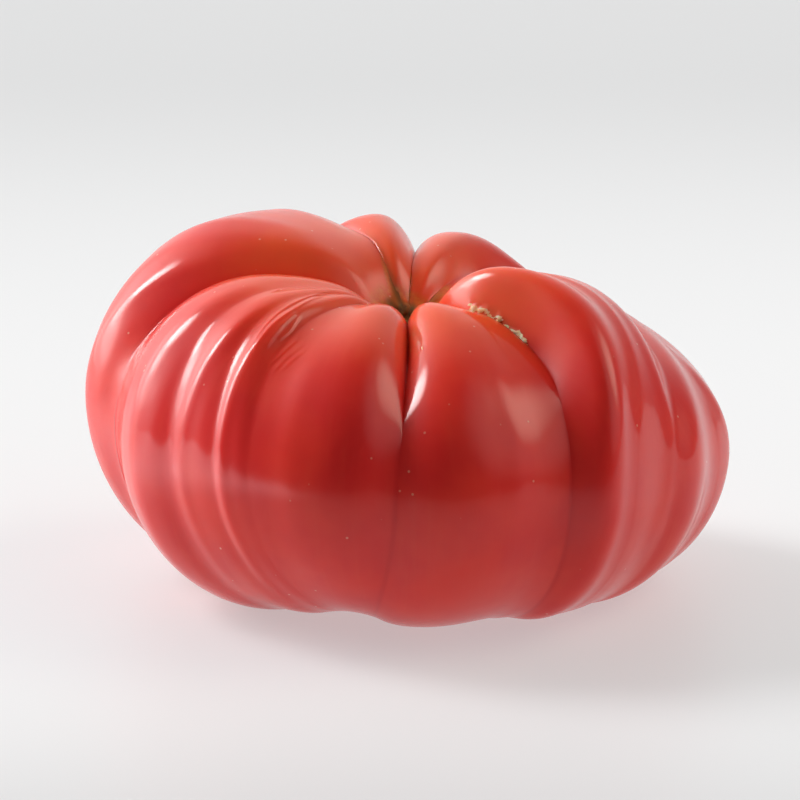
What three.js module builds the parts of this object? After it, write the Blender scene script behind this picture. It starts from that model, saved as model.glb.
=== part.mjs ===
// A large ribbed beefsteak tomato, whole, as picked, resting on its blossom end.
//
// Millimetres, +Z up. The origin is under the middle of the fruit, on the surface that it rests on.
// The fruit is one closed skin. It is drawn as meridians that leave the stem scar, climb the wall of the
// stem cavity, cross the crown, run down the side and come back underneath to the blossom scar. A lobe is
// the swelling between two folds, so the skin is known once each fold and the crest of each lobe are known.
// Azimuths are in degrees about the stem: 0 is the front (-Y), 90 the right (+X), 180 the back, 270 the left.
import * as THREE from "three";

// Stem scar, at the bottom of the stem cavity, and blossom scar, in the dimple underneath.
const STEM_SCAR = { radius: 5, height: 49 };
const BLOSSOM_SCAR = { radius: 2.5, height: 5 };

// How far a lobe would dip under the surface if the fruit's own weight didn't flatten it there.
const REST_FLATTENING = 0.4;

// Rows of the skin along each stretch of a meridian.
const ROWS = { cavity: 9, shoulder: 14, flank: 13, underside: 8 };

// The lobes in turn, from the front fold towards the right. Each line gives the fold before the lobe:
//   its azimuth at the crown, at the side and at the foot,
//   its depth there, and how sharp it is (0 is a soft valley, 1 a plain V, 2 a tight crease),
// then the lobe's crest: crown [radius, height], side [radius, height], foot [radius, lift off the surface],
// the number of columns of skin across the lobe, and, where its crest isn't midway between its folds,
//   how far across it is at the crown, at the side and at the foot.
const LOBES = [
  lobe("front", [0.5, -2.5, -12], [7, 6, 0.2], 1.8, [15, 56.5], [50, 29], [22.5, 0.3], 11),
  lobe("front_edge", [33, 30, 30], [0.8, 0.9, 0.6], 0.4, [18, 53.5], [48.5, 29], [23, 0.3], 5),
  lobe("right", [48, 36, 37], [6.5, 4.5, 1.5], 1.1, [24, 63], [54, 29], [28, 0.5], 10),
  lobe("right_ridge", [78, 50, 50], [0.4, 0.4, 0], 0, [25, 60.2], [52.5, 28], [31, 0.5], 6),
  lobe("right_rib", [100, 64.5, 62], [2, 1.6, 0.3], 0.8, [26, 55], [56.7, 26], [33, 0.5], 8),
  lobe("far_right", [115, 86, 73], [1, 1.1, 1], 0.8, [26, 53], [62.9, 24], [34, 0], 10, [0.5, 0.4, 0.5]),
  lobe("back_right", [150, 130, 124], [3, 4, 2], 1.2, [29, 62], [54, 30], [30, 0], 11),
  lobe("back", [177, 176, 176], [7, 5, 2], 1.5, [28, 65.7], [50, 32], [28, 0], 8, [0.62, 0.6, 0.5]),
  lobe("back_left", [203, 202, 202], [4, 4, 2], 1.3, [35, 67.4], [62.6, 34.5], [31, 0], 18, [0.5, 0.75, 0.75]),
  lobe("left", [269, 274, 274], [7.5, 6, 3], 1.3, [27, 61], [54.5, 30], [28, 0], 8),
  lobe("left_ridge", [297, 303, 313], [1.2, 1.8, 0.5], 0.9, [26, 59.8], [50.5, 31], [25, 1.6], 6),
  lobe("left_rib", [309, 317, 332], [0.8, 1.2, 0.3], 0.7, [24, 58.6], [50, 31], [24, 2.8], 5),
  lobe("front_left", [321, 326, 338], [1.5, 0.5, 0.3], 0.3, [19.5, 57], [50, 30], [21, 2.6], 10),
];

// One line of the table above, with its numbers named.
function lobe(name, foldAzimuth, foldDepth, sharpness, crown, side, foot, columns, crestAt = [0.5, 0.5, 0.5]) {
  return {
    name,
    foldAzimuth,
    foldDepth,
    sharpness,
    columns,
    crestAt,
    crest: {
      crownRadius: crown[0],
      crownHeight: crown[1],
      sideRadius: side[0],
      sideHeight: side[1],
      footRadius: foot[0],
      footHeight: foot[1] - REST_FLATTENING,
    },
  };
}

const mix = (from, to, share) => from + (to - from) * share;
const easeInOut = (share) => share * share * (3 - 2 * share);
const mixStations = (from, to, share) =>
  Object.fromEntries(Object.keys(from).map((key) => [key, mix(from[key], to[key], share)]));

// The lobe after the one with this index. Past the last lobe it is the first again, a full turn further on.
function lobeAfter(index) {
  if (index < LOBES.length - 1) return LOBES[index + 1];
  const first = LOBES[0];
  return { ...first, foldAzimuth: first.foldAzimuth.map((azimuth) => azimuth + 360) };
}

// The fold between two lobes: their mean crest, pushed inwards by the fold's depth.
function foldStations(before, after) {
  const stations = mixStations(before.crest, after.crest, 0.5);
  const [crown, side, foot] = after.foldDepth;
  stations.crownHeight -= crown;
  stations.sideRadius -= side;
  stations.footHeight += foot;
  return stations;
}

// Every row of a meridian: its stretch and how far along the stretch it is, from 0 to 1.
const rows = Object.entries(ROWS).flatMap(([stretch, count]) =>
  Array.from({ length: count }, (_, step) => ({ stretch, share: step / count })),
);

// Radius and height of one row of a meridian with these stations. The cavity, shoulder and flank are each
// a quarter of an ellipse, and the underside is a gentle rise to the blossom scar.
function meridianPoint(stations, { stretch, share }) {
  const s = stations;
  const sine = Math.sin((share * Math.PI) / 2);
  const cosine = Math.cos((share * Math.PI) / 2);
  if (stretch === "cavity") {
    return [
      mix(STEM_SCAR.radius, s.crownRadius, 1 - cosine),
      mix(STEM_SCAR.height, s.crownHeight, sine),
    ];
  }
  if (stretch === "shoulder") {
    return [mix(s.crownRadius, s.sideRadius, sine), mix(s.sideHeight, s.crownHeight, cosine)];
  }
  if (stretch === "flank") {
    return [mix(s.footRadius, s.sideRadius, cosine), mix(s.sideHeight, s.footHeight, sine)];
  }
  return [
    mix(s.footRadius, BLOSSOM_SCAR.radius, share),
    mix(s.footHeight, BLOSSOM_SCAR.height, easeInOut(share)),
  ];
}

// The value at one row of what is given at the crown, at the side and at the foot, such as a fold's azimuth.
function atRow([crown, side, foot], { stretch, share }) {
  if (stretch === "cavity") return crown;
  if (stretch === "shoulder") return mix(crown, side, easeInOut(share));
  if (stretch === "flank") return mix(side, foot, easeInOut(share));
  return foot;
}

// Where a point is across a lobe: -1 at its first fold, 0 at its crest and 1 at its last fold.
function acrossLobe(share, crestShare) {
  return share < crestShare ? share / crestShare - 1 : (share - crestShare) / (1 - crestShare);
}

// How far a point across a lobe stands out from its folds towards its crest: 0 at a fold, 1 at the crest.
// across runs from -1 to 1. The fold is a soft wave at sharpness 0, a plain V at 1 and a tight crease at 2.
function swelling(across, sharpness) {
  const wave = (1 + Math.cos(across * Math.PI)) / 2;
  const arch = 1 - Math.abs(across) ** 3;
  const round = Math.sqrt(Math.max(0, 1 - across * across));
  return sharpness < 1 ? mix(wave, arch, sharpness) : mix(arch, round, sharpness - 1);
}

// The columns of skin across one lobe, closer together near its folds. A column is a list of [x, y, z].
function lobeColumns(current, index) {
  const after = lobeAfter(index);
  const startFold = foldStations(LOBES.at(index - 1), current);
  const endFold = foldStations(current, after);
  return Array.from({ length: current.columns }, (_, step) => {
    const share = (1 - Math.cos((step / current.columns) * Math.PI)) / 2;
    const valley = mixStations(startFold, endFold, easeInOut(share));
    return rows.map((row) => {
      const across = acrossLobe(share, atRow(current.crestAt, row));
      const sharpness = across < 0 ? current.sharpness : after.sharpness;
      const stations = mixStations(valley, current.crest, swelling(across, sharpness));
      const [radius, height] = meridianPoint(stations, row);
      const start = atRow(current.foldAzimuth, row);
      const end = atRow(after.foldAzimuth, row);
      const azimuth = THREE.MathUtils.degToRad(mix(start, end, share));
      return [radius * Math.sin(azimuth), -radius * Math.cos(azimuth), Math.max(0, height)];
    });
  });
}

// The skin: a ring of columns, closed by a fan over the stem scar and another over the blossom scar.
function skinGeometry() {
  const columns = LOBES.flatMap(lobeColumns);
  const positions = columns.flat(2);
  positions.push(0, 0, STEM_SCAR.height, 0, 0, BLOSSOM_SCAR.height);
  const stemVertex = columns.length * rows.length;
  const blossomVertex = stemVertex + 1;
  const vertex = (column, row) => (column % columns.length) * rows.length + row;
  const lastRow = rows.length - 1;
  const triangles = [];
  for (let column = 0; column < columns.length; column += 1) {
    triangles.push(stemVertex, vertex(column, 0), vertex(column + 1, 0));
    for (let row = 0; row < lastRow; row += 1) {
      const upper = vertex(column, row);
      const lower = vertex(column, row + 1);
      const nextUpper = vertex(column + 1, row);
      const nextLower = vertex(column + 1, row + 1);
      triangles.push(upper, lower, nextLower, upper, nextLower, nextUpper);
    }
    triangles.push(vertex(column + 1, lastRow), vertex(column, lastRow), blossomVertex);
  }
  const geometry = new THREE.BufferGeometry();
  geometry.setAttribute("position", new THREE.Float32BufferAttribute(positions, 3));
  geometry.setIndex(triangles);
  return geometry;
}

// The stem isn't quite in the middle of the fruit, so the skin is moved until the origin is.
function centred(geometry) {
  geometry.computeBoundingBox();
  const middle = geometry.boundingBox.getCenter(new THREE.Vector3());
  geometry.translate(-middle.x, -middle.y, -geometry.boundingBox.min.z);
  geometry.computeVertexNormals();
  return geometry;
}

const skin = new THREE.MeshStandardMaterial({ color: 0xc8362c, roughness: 0.28, metalness: 0 });
const tomato = new THREE.Mesh(centred(skinGeometry()), skin);
tomato.name = "tomato";

const part = new THREE.Group();
part.add(tomato);

export default part;
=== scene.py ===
"""A large ribbed beefsteak tomato, whole, as picked, resting on its blossom end.

The skin starts as a merged copy of the CAD tomato. Its two scars are closed with rings of their own, it is
subdivided, and then it is worked over as a sculptor would: soft ribs, growth wrinkles, cork and the scars.
Metres, +Z up, in the frame's own coordinates.
"""

import math

import bmesh
import bpy
import numpy as np
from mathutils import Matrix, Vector
from mathutils.bvhtree import BVHTree


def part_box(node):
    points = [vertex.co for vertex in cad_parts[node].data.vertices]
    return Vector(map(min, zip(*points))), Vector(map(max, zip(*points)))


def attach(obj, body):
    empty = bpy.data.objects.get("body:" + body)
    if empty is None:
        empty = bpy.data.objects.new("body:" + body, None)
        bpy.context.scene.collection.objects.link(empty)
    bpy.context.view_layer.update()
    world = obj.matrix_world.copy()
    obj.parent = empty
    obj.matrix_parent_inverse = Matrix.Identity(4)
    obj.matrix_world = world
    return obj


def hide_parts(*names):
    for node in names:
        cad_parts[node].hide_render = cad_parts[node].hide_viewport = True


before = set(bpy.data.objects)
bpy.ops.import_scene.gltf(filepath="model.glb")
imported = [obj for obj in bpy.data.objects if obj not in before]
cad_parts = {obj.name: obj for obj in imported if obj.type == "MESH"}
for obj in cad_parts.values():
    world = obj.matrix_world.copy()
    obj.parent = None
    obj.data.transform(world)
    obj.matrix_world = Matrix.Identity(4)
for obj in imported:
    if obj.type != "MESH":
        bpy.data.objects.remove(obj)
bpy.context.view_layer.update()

MM = 0.001
LOW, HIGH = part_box("tomato")
MIDDLE = (LOW + HIGH) / 2

# Places closer than this are one place.
SAME_PLACE = 0.01 * MM

# How far from the middle of a scar its open edge may be.
# The rings that close a scar are each a share of the ring before.
SCAR_REACH = 8 * MM
STEM_RINGS = (0.75, 0.65, 0.5)
BLOSSOM_RINGS = (0.6,)

# How wide a hollow counts as a fold, which the finish paints with a deeper red shade.
# The folds are filled at these widths, one after another.
FOLD_WIDTH = 2.2 * MM
FILLED_WIDTHS = (4.5 * MM, 2.5 * MM, 1.4 * MM, 1.2 * MM)

# Faces near fine strokes are divided once more, within this reach.
FINE_REACH = 1.7 * MM

# How soft the step of a wrinkle is.
LIP_EDGE = 0.22 * MM

FLAKE_SEED = 11


# ---------------------------------------------------------------- small helpers


def work_on(piece):
    """Leaves this piece, and nothing else, selected and active."""
    bpy.ops.object.select_all(action="DESELECT")
    piece.select_set(True)
    bpy.context.view_layer.objects.active = piece


def apply_modifier(piece, kind, **settings):
    """Adds a modifier with these settings and applies it."""
    work_on(piece)
    modifier = piece.modifiers.new(kind.title(), kind)
    for name, value in settings.items():
        setattr(modifier, name, value)
    bpy.ops.object.modifier_apply(modifier=modifier.name)


def positions(mesh):
    """The mesh's vertices as rows of x, y, z."""
    found = np.empty(len(mesh.vertices) * 3, np.float32)
    mesh.vertices.foreach_get("co", found)
    return found.reshape(-1, 3).astype(float)


def normals(mesh):
    """The mesh's vertex normals as rows of x, y, z."""
    found = np.empty(len(mesh.vertices) * 3, np.float32)
    mesh.vertex_normals.foreach_get("vector", found)
    return found.reshape(-1, 3).astype(float)


def move_to(mesh, places):
    mesh.vertices.foreach_set("co", places.astype(np.float32).ravel())
    mesh.update()


def store(mesh, name, values):
    """Keeps one number for each vertex, which the finish reads by this name."""
    attribute = mesh.attributes.get(name) or mesh.attributes.new(name, "FLOAT", "POINT")
    attribute.data.foreach_set("value", values.astype(np.float32))


def stored(mesh, name):
    values = np.empty(len(mesh.vertices), np.float32)
    mesh.attributes[name].data.foreach_get("value", values)
    return values.astype(float)


def smooth_step(low, high, value):
    """0 below low, 1 above high, and an even curve between them."""
    share = np.clip((value - low) / (high - low), 0, 1)
    return share * share * (3 - 2 * share)


# ---------------------------------------------------------------- the skin's mesh


def skin_from_frame():
    """A merged copy of the CAD tomato as one new piece."""
    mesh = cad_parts["tomato"].data.copy()
    mesh.materials.clear()
    skin = bpy.data.objects.new("tomato_skin", mesh)
    bpy.context.scene.collection.objects.link(skin)
    work_on(skin)
    bpy.ops.mesh.customdata_custom_splitnormals_clear()
    bpy.ops.object.mode_set(mode="EDIT")
    bpy.ops.mesh.select_all(action="SELECT")
    bpy.ops.mesh.remove_doubles(threshold=SAME_PLACE)
    bpy.ops.object.mode_set(mode="OBJECT")
    return skin


def pole(skin, side):
    """Where all the columns of skin meet: at the stem scar (side 1) or at the blossom scar (side -1)."""
    shape = bmesh.new()
    shape.from_mesh(skin.data)
    half = [v for v in shape.verts if (v.co.z - MIDDLE.z) * side > 0]
    place = max(half, key=lambda v: len(v.link_edges)).co.copy()
    shape.free()
    return place


def select_where(skin, test):
    """Selects the vertices that pass the test, and leaves the piece in edit mode."""
    bpy.ops.object.mode_set(mode="OBJECT")
    for kind in (skin.data.vertices, skin.data.edges, skin.data.polygons):
        kind.foreach_set("select", np.zeros(len(kind), bool))
    skin.data.vertices.foreach_set("select", test(positions(skin.data)))
    bpy.ops.object.mode_set(mode="EDIT")
    bpy.ops.mesh.select_mode(type="VERT")


def open_pole(skin, place):
    """Takes away the fan of triangles over a scar."""
    select_where(skin, lambda points: np.linalg.norm(points - place, axis=1) < SAME_PLACE)
    bpy.ops.mesh.delete(type="VERT")


def close_pole(skin, place, shares):
    """Closes a scar's hole with rings drawn in towards its middle, each a share of the one before."""
    bpy.ops.object.mode_set(mode="EDIT")
    bpy.ops.mesh.select_all(action="DESELECT")
    bpy.ops.mesh.select_non_manifold(extend=False, use_boundary=True, use_wire=False,
                                     use_multi_face=False, use_non_contiguous=False, use_verts=False)
    bpy.ops.object.mode_set(mode="OBJECT")
    far = np.linalg.norm(positions(skin.data) - place, axis=1) > SCAR_REACH
    chosen = np.empty(len(far), bool)
    skin.data.vertices.foreach_get("select", chosen)
    skin.data.vertices.foreach_set("select", chosen & ~far)
    edges = np.array([edge.vertices[:] for edge in skin.data.edges])
    skin.data.edges.foreach_set("select", (chosen & ~far)[edges].all(axis=1))
    bpy.ops.object.mode_set(mode="EDIT")
    for share in shares:
        bpy.ops.mesh.extrude_edges_move()
        bpy.ops.transform.resize(value=(share, share, share), center_override=place)
    bpy.ops.mesh.merge(type="CENTER")
    bpy.ops.object.mode_set(mode="OBJECT")


def hollowness(skin, reach):
    """How far each vertex lies below the skin around it, in metres: positive in folds, negative on crests."""
    places = positions(skin.data)
    outwards = normals(skin.data)
    shape = bmesh.new()
    shape.from_mesh(skin.data)
    area = np.array([sum(face.calc_area() for face in v.link_faces) for v in shape.verts])
    shape.free()
    found = np.empty(len(places))
    for start in range(0, len(places), 500):
        few = slice(start, start + 500)
        offsets = places[None, :, :] - places[few, None, :]
        weights = area * np.exp(-(offsets**2).sum(axis=2) / (2 * reach**2))
        mean = (weights[:, :, None] * offsets).sum(axis=1) / weights.sum(axis=1)[:, None]
        found[few] = (mean * outwards[few]).sum(axis=1)
    return found


def soften_folds(skin, pole_place, reach):
    """Fills the folds as ripe flesh does: almost level near the foot, a little at the crown."""
    places = positions(skin.data)
    deep = np.maximum(hollowness(skin, reach), 0)
    left = smooth_step(-8 * MM, -20 * MM, places[:, 0]) * smooth_step(0, -10 * MM, places[:, 1])
    stem = np.hypot(*(places - np.array(pole_place)).T[:2])
    cavity = smooth_step(-2 * MM, 8 * MM, places[:, 1]) * smooth_step(28 * MM, 16 * MM, stem)
    share = 1.3 - 1.2 * smooth_step(33 * MM, 51 * MM, places[:, 2]) + 0.5 * left + 1.8 * cavity
    places += normals(skin.data) * (deep * share)[:, None]
    places[:, 2] = np.maximum(places[:, 2], 0)
    move_to(skin.data, places)


def built_skin():
    """The skin before it is sculpted, and the middles of its stem scar and blossom scar."""
    skin = skin_from_frame()
    stem, blossom = pole(skin, 1), pole(skin, -1)
    open_pole(skin, stem)
    open_pole(skin, blossom)
    bpy.ops.mesh.select_all(action="SELECT")
    bpy.ops.mesh.tris_convert_to_quads(face_threshold=math.pi, shape_threshold=math.pi,
                                       topology_influence=1)
    close_pole(skin, stem, STEM_RINGS)
    close_pole(skin, blossom, BLOSSOM_RINGS)
    store(skin.data, "fold", hollowness(skin, FOLD_WIDTH) / MM)
    for width in FILLED_WIDTHS:
        soften_folds(skin, stem, width)
    apply_modifier(skin, "SUBSURF", levels=2, render_levels=2)
    return skin, stem, blossom


skin, STEM, BLOSSOM = built_skin()
HEART = Vector((STEM.x, STEM.y, 0.4 * HIGH.z))


# ---------------------------------------------------------------- drawing on the skin


def toward(turn, tilt):
    """The direction at this azimuth (0 is the front, 90 the right) and this tilt above level, in degrees."""
    a, t = math.radians(turn), math.radians(tilt)
    return Vector((math.sin(a) * math.cos(t), -math.cos(a) * math.cos(t), math.sin(t)))


def through(places, steps=10):
    """A smooth curve through a few places, as rows, with this many steps from each to the next."""
    knots = np.array([places[0], *places, places[-1]], float)
    rows = []
    for before, start, end, after in zip(knots, knots[1:], knots[2:], knots[3:]):
        for share in np.arange(steps) / steps:
            rows.append(0.5 * (2 * start + (end - before) * share
                               + (2 * before - 5 * start + 4 * end - after) * share**2
                               + (3 * start - before - 3 * end + after) * share**3))
    return np.array([*rows, knots[-1]])


class Sculpt:
    """Strokes on a piece's skin. They add up to one height for each vertex, applied together at the end."""

    def __init__(self, piece):
        self.piece = piece
        self.places = positions(piece.data)
        self.outwards = normals(piece.data)
        self.tree = BVHTree.FromObject(piece, bpy.context.evaluated_depsgraph_get())
        self.height = np.zeros(len(self.places))
        self.marks = {}

    def mark(self, name):
        return self.marks.setdefault(name, np.zeros(len(self.places)))

    def line(self, *places):
        """A line on the skin through places given as they are seen from the heart: (azimuth, tilt)."""
        return np.array([self.tree.ray_cast(HEART, toward(turn, tilt))[0] for turn, tilt in through(places)])

    def beside(self, line, reach):
        """Which vertices are within reach of a line, how far off, how far along it, and to which side."""
        low, high = line.min(axis=0) - reach, line.max(axis=0) + reach
        which = np.flatnonzero(((self.places > low) & (self.places < high)).all(axis=1))
        step = np.diff(line, axis=0)
        offset = self.places[which, None, :] - line[None, :-1, :]
        share = np.clip((offset * step).sum(axis=2) / (step**2).sum(axis=1), 0, 1)
        gap = offset - share[:, :, None] * step
        distance = np.linalg.norm(gap, axis=2)
        best = distance.argmin(axis=1)
        row = np.arange(len(which))
        sideways = np.cross(self.outwards[which], step[best])
        side = np.sign((gap[row, best] * sideways).sum(axis=1))
        along = (best + share[row, best]) / len(step)
        close = distance[row, best] < reach
        return which[close], distance[row, best][close], along[close], side[close]

    def ridge(self, places, width, height, mark=None, strength=1.0):
        """A soft ridge of this half width, or a groove where the height is negative."""
        which, gap, along, _ = self.beside(self.line(*places), 3 * width)
        shape = np.exp(-((gap / width) ** 2)) * np.sin(np.pi * np.clip(along, 0.001, 0.999)) ** 0.6
        self.height[which] += height * shape
        if mark:
            layer = self.mark(mark)
            layer[which] = np.maximum(layer[which], strength * shape)

    def lip(self, places, width, height):
        """A wrinkle: a sharp step up on the line's left side that falls away over this width."""
        which, gap, along, side = self.beside(self.line(*places), 4 * width)
        signed = gap * side
        shape = smooth_step(-LIP_EDGE, LIP_EDGE, signed) * np.exp(-np.maximum(signed, 0) / width)
        self.height[which] += height * shape * np.sin(np.pi * along) ** 0.5

    def swell(self, turn, tilt, reach, height):
        """A soft round swelling."""
        middle = np.array(self.tree.ray_cast(HEART, toward(turn, tilt))[0])
        self.height += height * np.exp(-((self.places - middle) ** 2).sum(axis=1) / reach**2)

    def flakes(self, places, count, spread, size, height, rng):
        """Uneven flakes of cork healed over a crack, strewn along a line and longer along it than across."""
        line = self.line(*places)
        for _ in range(count):
            at = int(rng.integers(1, len(line) - 1))
            forward = line[at + 1] - line[at - 1]
            forward /= np.linalg.norm(forward)
            middle = line[at] + rng.normal(0, spread, 3)
            length, breadth = size * rng.uniform(0.8, 2.0), size * rng.uniform(0.3, 0.55)
            which = np.flatnonzero(np.linalg.norm(self.places - middle, axis=1) < 3 * length)
            offset = self.places[which] - middle
            along = offset @ forward
            across = np.linalg.norm(offset - along[:, None] * forward, axis=1)
            shape = smooth_step(1.2, 0.75, np.hypot(along / length, across / breadth))
            self.height[which] += height * rng.uniform(0.4, 1.0) * shape
            layer = self.mark("cork")
            layer[which] = np.maximum(layer[which], shape)

    def scar(self, middle, radius, ring, nub, cracks, mark="cork"):
        """A round corky scar: a raised ring with cracks across it round a dish, and a nub in the middle."""
        offset = self.places - np.array(middle)
        reach = np.hypot(offset[:, 0], offset[:, 1])
        which = np.flatnonzero((reach < 2 * radius) & (abs(offset[:, 2]) < 3 * radius))
        reach = reach[which] / radius
        azimuth = np.arctan2(offset[which, 0], offset[which, 1])
        wave = np.cos(cracks * azimuth + 1.5 * np.sin(2 * azimuth))
        self.height[which] += ring * np.exp(-(((reach - 0.85) / 0.22) ** 2)) * (0.8 + 0.3 * wave)
        self.height[which] += nub * smooth_step(0.36, 0.12, reach)
        layer = self.mark(mark)
        layer[which] = np.maximum(layer[which], smooth_step(1.25, 0.8, reach + 0.12 * wave))

    def apply(self):
        """Moves every vertex out by its height, and keeps the marks for the finish."""
        places = self.places + self.outwards * self.height[:, None]
        places[:, 2] = np.maximum(places[:, 2], 0)
        move_to(self.piece.data, places)
        for name, layer in self.marks.items():
            store(self.piece.data, name, layer)


# Fine wrinkles, each as places seen from the heart: (azimuth, tilt).
GROWTH_WRINKLES = (
    ((-44, 35), (-46, 43), (-48, 51), (-53, 60)),
    ((-42, 33), (-43, 40), (-44, 48), (-48, 58)),
    ((-40, 34), (-41, 40), (-42, 46)),
    ((-39, 37), (-39, 41), (-41, 46)),
)
GROOVE_WRINKLES = (
    ((-37, 30), (-36, 34), (-35, 39)),
    ((-35, 29), (-34, 33), (-32, 38)),
    ((-33, 30), (-32, 33), (-30, 37)),
)
SCRATCHES = (
    ((-15, 11), (-12, 15), (-9, 19)),
    ((-14, 9), (-11, 13), (-8, 17)),
    ((-13, 8), (-11, 11), (-9, 14)),
    ((-16, 13), (-14, 16), (-12, 19)),
)

# Cork: along a fold, on the front lobe's left flank, and a few bits near the stem.
CORK_FOLD = ((50, 61), (49.5, 55), (48.5, 49), (47.5, 44), (46.5, 40))
FRONT_CORK = ((4, 54), (5, 47), (5, 41))
CROWN_BITS = ((-41, 67), (-33, 62), (-20, 56))

# Soft ribs down the lobes: the places, and the rib's half width and height in millimetres.
RIBS = (
    (((-50, 56), (-52, 40), (-53, 22), (-52, 0), (-45, -30)), 1.8, 0.35),
    (((-43, 54), (-43, 38), (-42, 22), (-40, 0), (-33, -30)), 1.4, 0.4),
    (((-67, 50), (-68, 35), (-68, 18), (-66, 0), (-62, -25)), 2.4, 0.4),
    (((-28, 46), (-26, 30), (-25, 10), (-22, -15)), 3.0, 0.25),
    (((27, 50), (25, 32), (24, 12), (20, -15)), 2.4, 0.3),
    (((60, 58), (50, 38), (46, 18), (44, -10)), 2.6, 0.3),
    (((84, 46), (72, 26), (66, 10), (60, -15)), 2.2, 0.35),
    (((108, 40), (98, 20), (93, 0), (84, -22)), 2.6, 0.35),
    (((140, 50), (133, 30), (128, 8), (124, -20)), 2.8, 0.35),
    (((160, 56), (155, 36), (152, 12), (150, -18)), 2.4, 0.3),
    (((190, 56), (188, 36), (189, 10), (190, -20)), 2.6, 0.3),
    (((215, 60), (220, 40), (222, 16), (222, -16)), 3.0, 0.35),
    (((240, 62), (246, 40), (248, 16), (248, -16)), 2.6, 0.3),
    (((262, 50), (264, 32), (264, 8), (264, -20)), 2.2, 0.3),
)

# Where the lobes' crowns swell towards the stem: azimuth, tilt, then reach and height in millimetres.
SWELLINGS = (
    (30, 58, 7, 1.5),
    (36, 48, 8, 1.6),
    (-18, 60, 7, 0.8),
    (-50, 66, 7, 0.8),
    (66, 64, 8, 0.8),
)


def refine(skin, strokes, reach):
    """Divides the faces near some strokes once more, so that fine shapes have enough skin to be drawn in."""
    tree = BVHTree.FromObject(skin, bpy.context.evaluated_depsgraph_get())
    lines = [np.array([tree.ray_cast(HEART, toward(*place))[0] for place in through(stroke)])
             for stroke in strokes]
    spots = np.concatenate(lines)

    def near(points):
        found = np.zeros(len(points), bool)
        for spot in spots:
            found |= ((points - spot) ** 2).sum(axis=1) < reach**2
        return found

    select_where(skin, near)
    bpy.ops.mesh.subdivide(number_cuts=1)
    bpy.ops.object.mode_set(mode="OBJECT")


def sculpt_skin(skin):
    """Draws every stroke on the skin. The flakes draw random numbers in this order."""
    fine_lines = (*GROWTH_WRINKLES, *GROOVE_WRINKLES, *SCRATCHES, CORK_FOLD, FRONT_CORK, CROWN_BITS)
    refine(skin, fine_lines, FINE_REACH)
    rng = np.random.default_rng(FLAKE_SEED)
    work = Sculpt(skin)
    for places, width, height in RIBS:
        work.ridge(places, width * MM, height * MM)
    for turn, tilt, reach, height in SWELLINGS:
        work.swell(turn, tilt, reach * MM, height * MM)
    for stroke in GROWTH_WRINKLES:
        work.lip(stroke, width=0.9 * MM, height=0.3 * MM)
    for stroke in GROOVE_WRINKLES:
        work.lip(stroke, width=0.6 * MM, height=0.1 * MM)
    for stroke in SCRATCHES:
        work.lip(stroke, width=0.5 * MM, height=0.08 * MM)
    work.ridge(CORK_FOLD, width=1.5 * MM, height=-0.3 * MM, mark="scab", strength=1.0)
    work.ridge(FRONT_CORK, width=0.7 * MM, height=-0.15 * MM, mark="scab", strength=0.8)
    work.flakes(CORK_FOLD, count=70, spread=0.45 * MM, size=0.7 * MM, height=0.2 * MM, rng=rng)
    work.flakes(FRONT_CORK, count=9, spread=0.15 * MM, size=0.35 * MM, height=0.22 * MM, rng=rng)
    work.flakes(CROWN_BITS, count=7, spread=0.3 * MM, size=0.28 * MM, height=0.18 * MM, rng=rng)
    work.scar(STEM, radius=4.6 * MM, ring=0.7 * MM, nub=1.1 * MM, cracks=11, mark="stem_end")
    work.scar(BLOSSOM, radius=2.2 * MM, ring=0.25 * MM, nub=0.3 * MM, cracks=5)
    work.apply()


sculpt_skin(skin)


# ---------------------------------------------------------------- finishes


class Value:
    """One socket of a finish. Arithmetic on it adds Math nodes to the finish."""

    def __init__(self, finish, socket):
        self.finish = finish
        self.socket = socket

    def math(self, operation, *terms):
        return self.finish.node("ShaderNodeMath", {"operation": operation}, dict(enumerate(terms)))

    def __add__(self, other):
        return self.math("ADD", self, other)

    def __sub__(self, other):
        return self.math("SUBTRACT", self, other)

    def __rsub__(self, other):
        return self.math("SUBTRACT", other, self)

    def __mul__(self, other):
        return self.math("MULTIPLY", self, other)

    def __truediv__(self, other):
        return self.math("DIVIDE", self, other)

    def __rtruediv__(self, other):
        return self.math("DIVIDE", other, self)

    def __pow__(self, other):
        return self.math("POWER", self, other)

    __radd__ = __add__

    def between(self, low, high):
        """0 where this is under low, 1 where it is over high, and an even curve between them."""
        return self.finish.node(
            "ShaderNodeMapRange",
            {"interpolation_type": "SMOOTHSTEP"},
            {"Value": self, "From Min": low, "From Max": high},
        )


class Nodes:
    """The node tree of a material or of the room's light, built one call at a time."""

    def __init__(self, owner, coordinates):
        owner.use_nodes = True
        self.owner = owner
        self.tree = owner.node_tree
        self.place = self.node("ShaderNodeTexCoord", {}, {}, coordinates)

    def node(self, kind, settings, inputs, output=0):
        """Adds a node, sets it up, then feeds its sockets with values or links."""
        made = self.tree.nodes.new(kind)
        for name, value in settings.items():
            setattr(made, name, value)
        for name, value in inputs.items():
            self.feed(made.inputs[name], value)
        return Value(self, made.outputs[output])

    def feed(self, socket, value):
        if isinstance(value, Value):
            self.tree.links.new(value.socket, socket)
        else:
            socket.default_value = value

    def colour(self, share, start, end):
        """From one colour to another."""
        return self.node("ShaderNodeMix", {"data_type": "RGBA"}, {0: share, 6: start, 7: end}, 2)


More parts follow.
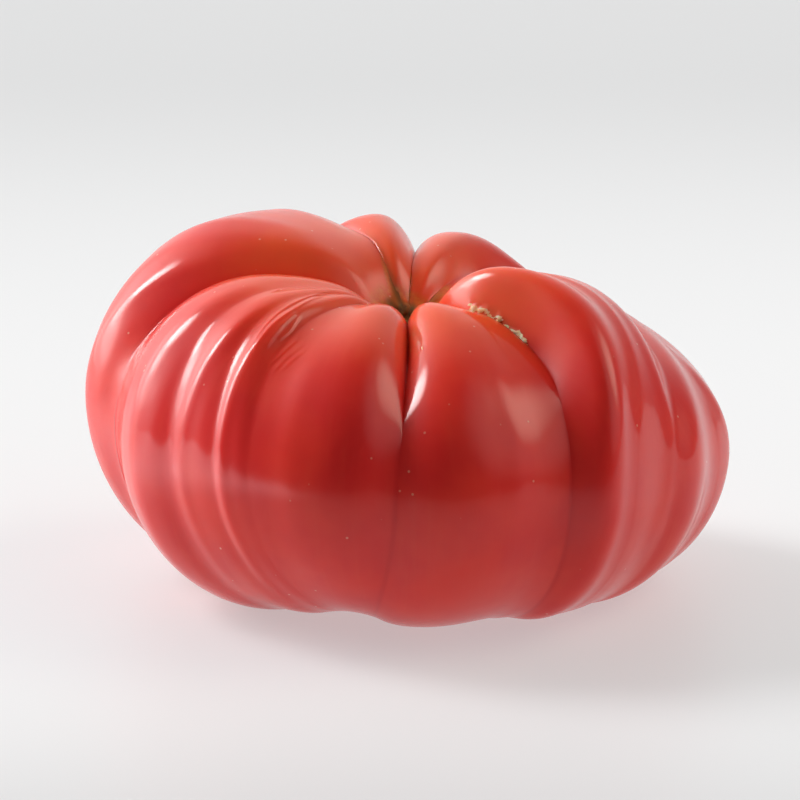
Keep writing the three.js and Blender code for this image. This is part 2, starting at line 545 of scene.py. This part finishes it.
class Finish(Nodes):
    """A material, in the piece's own coordinates."""

    def __init__(self, name):
        super().__init__(bpy.data.materials.new(name), "Object")
        self.shader = self.tree.nodes["Principled BSDF"].inputs

    def set(self, **sockets):
        """Feeds the shader's own sockets, such as base_color."""
        for name, value in sockets.items():
            self.feed(self.shader[name.replace("_", " ").title().replace("Ior", "IOR")], value)

    def kept(self, name):
        """A number that the mesh keeps for each vertex."""
        return self.node("ShaderNodeAttribute", {"attribute_name": name}, {}, "Fac")

    def parts(self, where):
        """The x, y and z of a vector."""
        split = self.node("ShaderNodeSeparateXYZ", {}, {0: where}).socket.node
        return [Value(self, output) for output in split.outputs]

    def noise(self, size, where=None, detail=2.0, roughness=0.5):
        """Soft cloudy noise from 0 to 1, its clouds about this size in metres."""
        return self.node(
            "ShaderNodeTexNoise",
            {},
            {"Vector": where or self.place, "Scale": 1 / size, "Detail": detail, "Roughness": roughness},
        )

    def specks(self, spacing, size):
        """Small round specks about this far apart: 1 in the middle of a speck, 0 between them."""
        gap = self.node("ShaderNodeTexVoronoi", {}, {"Vector": self.place, "Scale": 1 / spacing}, "Distance")
        return gap.between(size / spacing, 0.3 * size / spacing)

    def bump(self, height, strength, distance, over=None):
        """The surface's direction, roughened by a height."""
        inputs = {"Height": height, "Strength": strength, "Distance": distance}
        if over is not None:
            inputs["Normal"] = over
        return self.node("ShaderNodeBump", {}, inputs)


def srgb(red, green, blue):
    """A colour as seen, each part from 0 to 255, as the linear colour that a shader takes."""
    def linear(part):
        share = part / 255
        return share / 12.92 if share <= 0.04045 else ((share + 0.055) / 1.055) ** 2.4
    return (linear(red), linear(green), linear(blue), 1)


def ripe_skin():
    """Waxy red tomato skin: orange on the crowns, a painted shade of deeper red in the folds, cork and a few
    pale specks.
    """
    finish = Finish("ripe_skin")
    x, y, z = finish.parts(finish.place)
    # Faint streaks that run from the stem to the blossom, like the bundles under the skin.
    azimuth = finish.node("ShaderNodeMath", {"operation": "ARCTAN2"}, {0: x - STEM.x, 1: y - STEM.y})
    along = finish.node("ShaderNodeCombineXYZ", {}, {0: azimuth * 0.055, 2: z * 0.12})
    streaks = finish.noise(2.4 * MM, along, 3, 0.6)
    clouds = finish.noise(17 * MM, detail=3)
    colour = finish.colour(clouds.between(0.35, 0.65), srgb(216, 25, 20), srgb(225, 42, 26))
    colour = finish.colour(streaks.between(0.45, 0.75) * 0.15, colour, srgb(226, 66, 40))
    crown = finish.kept("crown")
    colour = finish.colour(crown * (clouds * 0.6 + 0.45), colour, srgb(234, 84, 28))
    # Painted shade: the folds are painted a darker, deeper red, as if shaded.
    colour = finish.colour(finish.kept("fold").between(0.1, 0.8) * 0.6, colour, srgb(206, 14, 10))
    pit = finish.kept("pit")
    fine = finish.noise(1.1 * MM, detail=3, roughness=0.65)
    rim = finish.colour(fine.between(0.3, 0.7), srgb(210, 116, 36), srgb(206, 80, 24))
    colour = finish.colour(pit.between(0.1, 0.45) * 0.8, colour, rim)
    colour = finish.colour(pit.between(0.6, 1.0) * 0.85, colour, srgb(150, 82, 28))
    stem_end = finish.kept("stem_end")
    colour = finish.colour(stem_end, colour, finish.colour(fine, srgb(84, 44, 18), srgb(150, 96, 44)))
    cork = finish.kept("cork")
    colour = finish.colour(finish.kept("scab") * (fine + 0.2), colour, srgb(196, 84, 40))
    tan = finish.colour(fine.between(0.35, 0.7), srgb(224, 164, 104), srgb(252, 232, 200))
    colour = finish.colour((cork * (fine + 0.5)).between(0.3, 0.6), colour, tan)
    specks = finish.specks(4.4 * MM, 0.32 * MM)
    colour = finish.colour(specks * 0.45, colour, srgb(236, 190, 160))
    grain = finish.bump(finish.noise(0.5 * MM, detail=1), 0.25, 0.03 * MM)
    waves = finish.bump(finish.noise(6 * MM, detail=2), 0.25, 0.2 * MM, grain)
    finish.set(
        base_color=colour,
        roughness=0.5 + cork * 0.3 + pit * 0.2,
        ior=1.45,
        specular_ior_level=0.2,
        normal=waves,
        subsurface_weight=0.55,
        subsurface_radius=(1.0, 0.18, 0.1),
        subsurface_scale=3.5 * MM,
        coat_weight=(1 - cork) * (0.75 - pit * 0.75),
        coat_roughness=0.1,
        coat_ior=1.45,
    )
    return finish.owner


def floor_with_painted_light():
    """A pale matt floor that glows a little as painted light, with a brighter glowing patch to the left. It
    is painted dimmer further away and towards the viewer.
    """
    finish = Finish("pale_floor")
    x, y, _ = finish.parts(finish.place)
    # Painted fall-off of light: the floor is painted darker further away and darker again towards the viewer.
    near, far, painted_falloff_grey = srgb(165, 166, 167), srgb(146, 147, 148), srgb(66, 66, 66)
    colour = finish.colour(y.between(0.1, 0.7), near, far)
    ahead = y * -1 - 0.05
    painted_fade_ahead = 1 - 1 / ((ahead.math("MAXIMUM", ahead, 0) / 0.13) ** 2 + 1)
    colour = finish.colour(painted_fade_ahead, colour, painted_falloff_grey)
    colour = finish.colour(y.between(-0.2, -0.6), colour, painted_falloff_grey)
    # Painted light: a brighter glowing patch on the floor to the left of the fruit, on top of the whole
    # floor's own glow, which lifts its shade.
    painted_glow_patch = x.between(-0.078, -0.15) * y.between(0.08, -0.03) * y.between(-0.2, -0.06)
    finish.set(base_color=colour, roughness=0.45, specular_ior_level=0.3,
               emission_color=finish.colour(painted_glow_patch, colour, (1.9, 1.9, 2.0, 1)), emission_strength=1.12)
    return finish.owner


# ---------------------------------------------------------------- pieces


def mark_crown_and_pit(skin):
    """Keeps how far each vertex belongs to an orange crown, and to the brown pit round the stem scar."""
    places = positions(skin.data)
    around = places - np.array(STEM)
    radius = np.hypot(around[:, 0], around[:, 1])
    height = places[:, 2]
    crown = smooth_step(46 * MM, 20 * MM, radius) * smooth_step(42 * MM, 56 * MM, height)
    reach = 7 * MM + 6 * MM * smooth_step(0.1, 0.6, stored(skin.data, "fold"))
    pit = smooth_step(1.3, 0.5, radius / reach) * smooth_step(20 * MM, 40 * MM, height)
    store(skin.data, "crown", crown)
    store(skin.data, "pit", pit)


mark_crown_and_pit(skin)
skin.data.materials.append(ripe_skin())
work_on(skin)
bpy.ops.object.shade_smooth()
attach(skin, "root")
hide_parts("tomato")


# ---------------------------------------------------------------- floor, light and camera


def add_floor():
    """A level floor that the fruit rests on, much wider than the view."""
    bpy.ops.mesh.primitive_plane_add(size=24, location=(0, 0, 0))
    floor = bpy.context.object
    floor.name = "floor"
    floor.data.materials.append(floor_with_painted_light())


def add_room_light():
    """A pale room: dim on the viewer's side, bright behind and above, a soft window to the left."""
    room = Nodes(bpy.data.worlds.new("pale_room"), "Generated")
    bpy.context.scene.world = room.owner

    def glow(turn, tilt, inner, outer, strength):
        """A soft round light from this direction: full within inner degrees of it, none past outer."""
        level = room.node("ShaderNodeVectorMath", {"operation": "DOT_PRODUCT"},
                          {0: room.place, 1: toward(turn, tilt)}, "Value")
        return level.between(math.cos(math.radians(outer)), math.cos(math.radians(inner))) * strength

    light = 0.12 + glow(-165, 12, 25, 70, 0.8)
    light = light + glow(-115, 42, 2, 13, 19.0) + glow(-110, 29, 2, 14, 8.0) + glow(-106, 17, 2, 15, 4.0)
    light = light + glow(-115, 14, 8, 36, 2.4) + glow(80, 36, 10, 45, 0.8)
    colour = room.colour(glow(100, 38, 10, 30, 1.0), (1, 1, 1, 1), (1, 0.86, 0.72, 1))
    light = light + glow(100, 38, 2, 23, 3.0)
    background = room.tree.nodes["Background"].inputs
    room.feed(background["Color"], colour)
    room.feed(background["Strength"], light)


def add_camera(tilt, lens, distance, aside, above):
    """A camera this far from the middle of the fruit, moved a little to the right and up."""
    camera = bpy.data.cameras.new("camera")
    camera.lens = lens
    view = bpy.data.objects.new("camera", camera)
    bpy.context.scene.collection.objects.link(view)
    back = toward(0, tilt)
    turned = back.to_track_quat("Z", "Y")
    right, up = turned @ Vector((1, 0, 0)), turned @ Vector((0, 1, 0))
    view.location = MIDDLE + back * distance + right * aside + up * above
    view.rotation_euler = turned.to_euler()
    bpy.context.scene.camera = view


add_floor()
add_room_light()
add_camera(tilt=15, lens=120, distance=503 * MM, aside=-1.4 * MM, above=1.6 * MM)
bpy.context.scene.view_settings.view_transform = "Standard"
